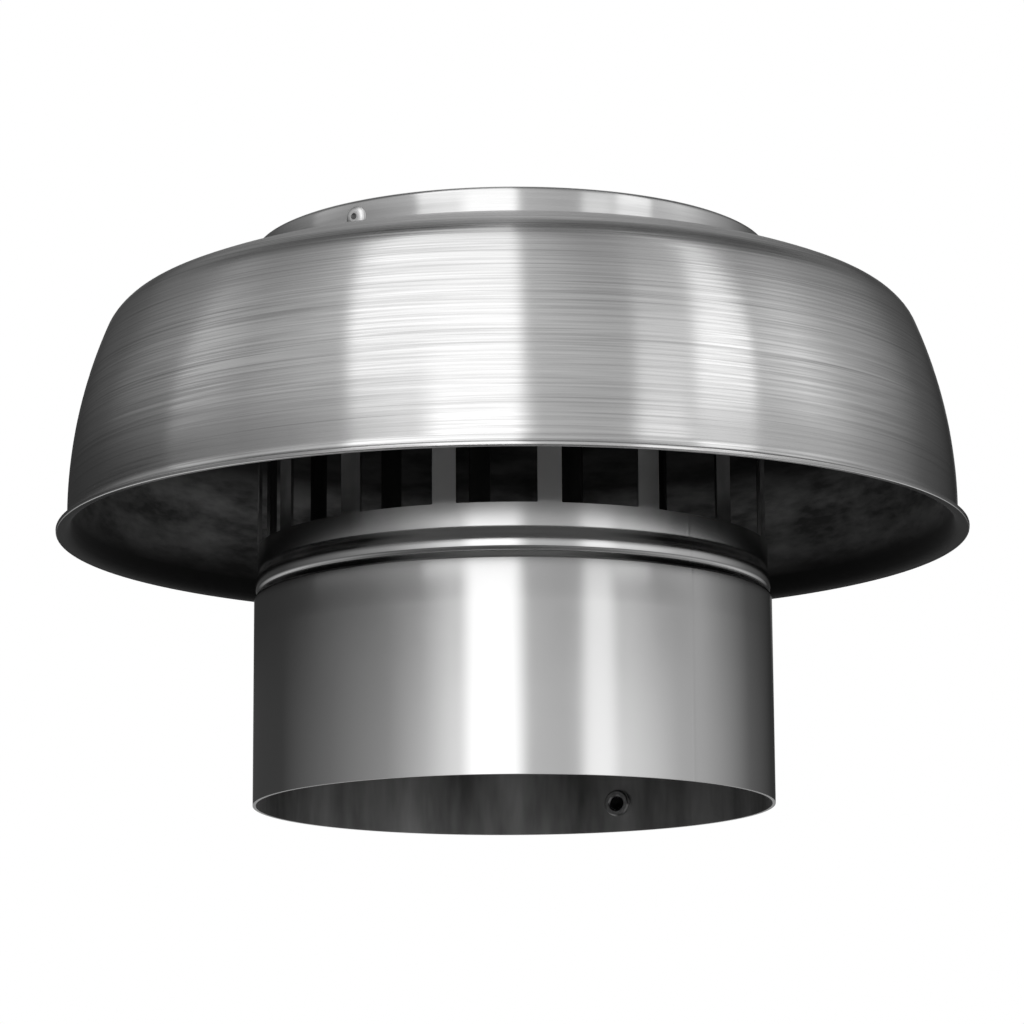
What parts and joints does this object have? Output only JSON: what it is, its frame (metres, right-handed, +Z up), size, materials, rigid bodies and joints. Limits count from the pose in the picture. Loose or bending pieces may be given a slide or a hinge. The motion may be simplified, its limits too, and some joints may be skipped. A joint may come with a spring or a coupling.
{
  "type": "mushroom flue cowl",
  "caption": "Spun aluminium mushroom cowl for a round flue: a deep dome with a turned-out lip, riveted over a swaged tube with a ring of outlet windows and a plain spigot below.",
  "frame": {"origin": "centre of the tube's lower edge, which the cowl stands on", "axes": "+Z up along the flue's axis, -Y towards the picture's viewer, +X to the viewer's right"},
  "size_m": [0.2644, 0.2644, 0.1632],
  "materials": {
    "spun_aluminium": "spun, with fine tool lines",
    "rolled_aluminium": "mill finish, satin",
    "rivet_aluminium": "bright",
    "mandrel_steel": "dull",
    "nut_steel": "plated, dull"
  },
  "bodies": {
    "root": {"cowl_dome": "spun_aluminium", "flue_tube": "rolled_aluminium", "rivet_bodies": "rivet_aluminium", "rivet_mandrels": "mandrel_steel", "press_nut": "nut_steel"}
  },
  "joints": []
}
